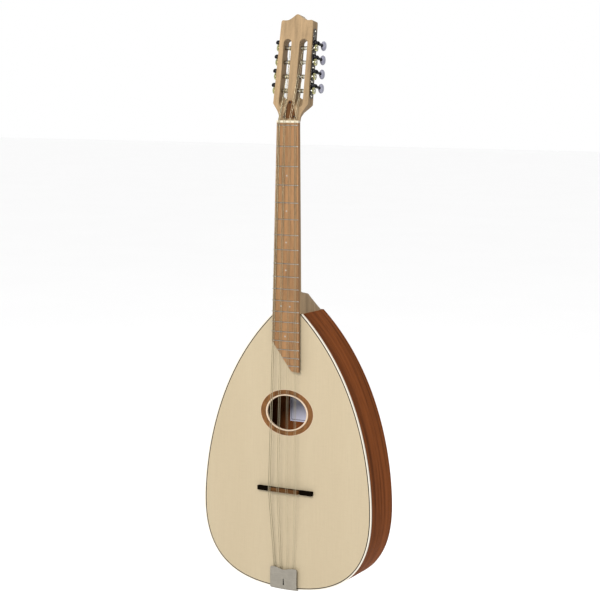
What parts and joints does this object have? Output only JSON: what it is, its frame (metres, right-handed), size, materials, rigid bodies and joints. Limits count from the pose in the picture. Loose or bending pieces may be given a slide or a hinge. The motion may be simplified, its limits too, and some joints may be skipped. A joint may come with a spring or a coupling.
{
  "type": "string instrument",
  "caption": "Long-necked flat-backed lute with paired strings, slotted headstock with side tuning machines, floating bridge and metal tailpiece.",
  "frame": {"origin": "on the centre line in the plane of the soundboard at the base of the headstock, where a hanger's yoke holds the neck", "axes": "+Z along the neck towards the headstock, -Y out of the soundboard, +X towards the treble side, the viewer's right"},
  "size_m": [0.3096, 0.0987, 0.9404],
  "materials": {
    "neck_wood": "satin",
    "fretboard_wood": "satin",
    "cover_wood": "satin",
    "spruce": "satin",
    "side_wood": "gloss",
    "inner_wood": "matte",
    "ebony": "satin",
    "binding": "gloss",
    "bone": "satin",
    "paper": "matte",
    "steel": "satin",
    "satin_metal": "satin",
    "black_metal": "gloss",
    "nickel": "polished",
    "pearl": "gloss",
    "bronze": "polished"
  },
  "bodies": {
    "instrument": {"headstock": "neck_wood", "neck_shaft": "neck_wood", "truss_rod": "steel", "truss_rod_cover": "cover_wood", "nut": "bone", "fretboard": "fretboard_wood", "soundboard": "spruce", "back_plate": "side_wood", "side_bass": "side_wood", "side_treble": "side_wood", "neck_block": "inner_wood", "tail_block": "inner_wood", "top_binding": "binding", "back_binding": "side_wood", "rosette": "cover_wood", "rosette_inner": "binding", "top_brace_upper": "inner_wood", "top_brace_lower": "inner_wood", "back_brace_upper": "inner_wood", "back_brace_lower": "inner_wood", "label": "paper", "bridge_base": "ebony", "bridge_saddle": "cover_wood", "tailpiece": "satin_metal", "tailpiece_hooks": "satin_metal", "tuner_plate_bass": "black_metal", "tuner_plate_treble": "black_metal", "string_bass_1": "bronze", "string_bass_2": "bronze", "string_bass_3": "bronze", "string_bass_4": "bronze", "string_treble_1": "bronze", "string_treble_2": "bronze", "string_treble_3": "bronze", "string_treble_4": "bronze"},
    "knob_bass_1": {"tuner_worm_bass_1": "black_metal", "tuner_button_bass_1": "pearl"},
    "post_bass_1": {"string_post_bass_1": "nickel"},
    "knob_bass_2": {"tuner_worm_bass_2": "black_metal", "tuner_button_bass_2": "pearl"},
    "post_bass_2": {"string_post_bass_2": "nickel"},
    "knob_bass_3": {"tuner_worm_bass_3": "black_metal", "tuner_button_bass_3": "pearl"},
    "post_bass_3": {"string_post_bass_3": "nickel"},
    "knob_bass_4": {"tuner_worm_bass_4": "black_metal", "tuner_button_bass_4": "pearl"},
    "post_bass_4": {"string_post_bass_4": "nickel"},
    "knob_treble_1": {"tuner_worm_treble_1": "black_metal", "tuner_button_treble_1": "pearl"},
    "post_treble_1": {"string_post_treble_1": "nickel"},
    "knob_treble_2": {"tuner_worm_treble_2": "black_metal", "tuner_button_treble_2": "pearl"},
    "post_treble_2": {"string_post_treble_2": "nickel"},
    "knob_treble_3": {"tuner_worm_treble_3": "black_metal", "tuner_button_treble_3": "pearl"},
    "post_treble_3": {"string_post_treble_3": "nickel"},
    "knob_treble_4": {"tuner_worm_treble_4": "black_metal", "tuner_button_treble_4": "pearl"},
    "post_treble_4": {"string_post_treble_4": "nickel"}
  },
  "joints": [
    {"name": "knob_turn_bass_1", "type": "hinge", "parent": "instrument", "child": "knob_bass_1", "pos_m": [-0.03531, 0.01357, 0.05572], "axis": [0, -0.9886, 0.1504], "continuous": true},
    {"name": "post_turn_bass_1", "type": "hinge", "parent": "instrument", "child": "post_bass_1", "pos_m": [-0.03108, 0.01242, 0.04815], "axis": [0.9997, -0.0035, -0.0229], "continuous": true},
    {"name": "knob_turn_bass_2", "type": "hinge", "parent": "instrument", "child": "knob_bass_2", "pos_m": [-0.03478, 0.01702, 0.07836], "axis": [0, -0.9886, 0.1504], "continuous": true},
    {"name": "post_turn_bass_2", "type": "hinge", "parent": "instrument", "child": "post_bass_2", "pos_m": [-0.03055, 0.01587, 0.07079], "axis": [0.9997, -0.0035, -0.0229], "continuous": true},
    {"name": "knob_turn_bass_3", "type": "hinge", "parent": "instrument", "child": "knob_bass_3", "pos_m": [-0.03424, 0.02046, 0.101], "axis": [0, -0.9886, 0.1504], "continuous": true},
    {"name": "post_turn_bass_3", "type": "hinge", "parent": "instrument", "child": "post_bass_3", "pos_m": [-0.03002, 0.01931, 0.09343], "axis": [0.9997, -0.0035, -0.0229], "continuous": true},
    {"name": "knob_turn_bass_4", "type": "hinge", "parent": "instrument", "child": "knob_bass_4", "pos_m": [-0.03371, 0.02391, 0.12363], "axis": [0, -0.9886, 0.1504], "continuous": true},
    {"name": "post_turn_bass_4", "type": "hinge", "parent": "instrument", "child": "post_bass_4", "pos_m": [-0.02949, 0.02276, 0.11607], "axis": [0.9997, -0.0035, -0.0229], "continuous": true},
    {"name": "knob_turn_treble_1", "type": "hinge", "parent": "instrument", "child": "knob_treble_1", "pos_m": [0.03531, 0.01357, 0.05572], "axis": [0, -0.9886, 0.1504], "continuous": true},
    {"name": "post_turn_treble_1", "type": "hinge", "parent": "instrument", "child": "post_treble_1", "pos_m": [0.03108, 0.01242, 0.04815], "axis": [0.9997, 0.0035, 0.0229], "continuous": true},
    {"name": "knob_turn_treble_2", "type": "hinge", "parent": "instrument", "child": "knob_treble_2", "pos_m": [0.03478, 0.01702, 0.07836], "axis": [0, -0.9886, 0.1504], "continuous": true},
    {"name": "post_turn_treble_2", "type": "hinge", "parent": "instrument", "child": "post_treble_2", "pos_m": [0.03055, 0.01587, 0.07079], "axis": [0.9997, 0.0035, 0.0229], "continuous": true},
    {"name": "knob_turn_treble_3", "type": "hinge", "parent": "instrument", "child": "knob_treble_3", "pos_m": [0.03424, 0.02046, 0.101], "axis": [0, -0.9886, 0.1504], "continuous": true},
    {"name": "post_turn_treble_3", "type": "hinge", "parent": "instrument", "child": "post_treble_3", "pos_m": [0.03002, 0.01931, 0.09343], "axis": [0.9997, 0.0035, 0.0229], "continuous": true},
    {"name": "knob_turn_treble_4", "type": "hinge", "parent": "instrument", "child": "knob_treble_4", "pos_m": [0.03371, 0.02391, 0.12363], "axis": [0, -0.9886, 0.1504], "continuous": true},
    {"name": "post_turn_treble_4", "type": "hinge", "parent": "instrument", "child": "post_treble_4", "pos_m": [0.02949, 0.02276, 0.11607], "axis": [0.9997, 0.0035, 0.0229], "continuous": true}
  ],
  "couplings": [
    {"joint": "post_turn_bass_1", "follows": "knob_turn_bass_1", "ratio": -0.071429},
    {"joint": "post_turn_bass_2", "follows": "knob_turn_bass_2", "ratio": -0.071429},
    {"joint": "post_turn_bass_3", "follows": "knob_turn_bass_3", "ratio": -0.071429},
    {"joint": "post_turn_bass_4", "follows": "knob_turn_bass_4", "ratio": -0.071429},
    {"joint": "post_turn_treble_1", "follows": "knob_turn_treble_1", "ratio": -0.071429},
    {"joint": "post_turn_treble_2", "follows": "knob_turn_treble_2", "ratio": -0.071429},
    {"joint": "post_turn_treble_3", "follows": "knob_turn_treble_3", "ratio": -0.071429},
    {"joint": "post_turn_treble_4", "follows": "knob_turn_treble_4", "ratio": -0.071429}
  ]
}
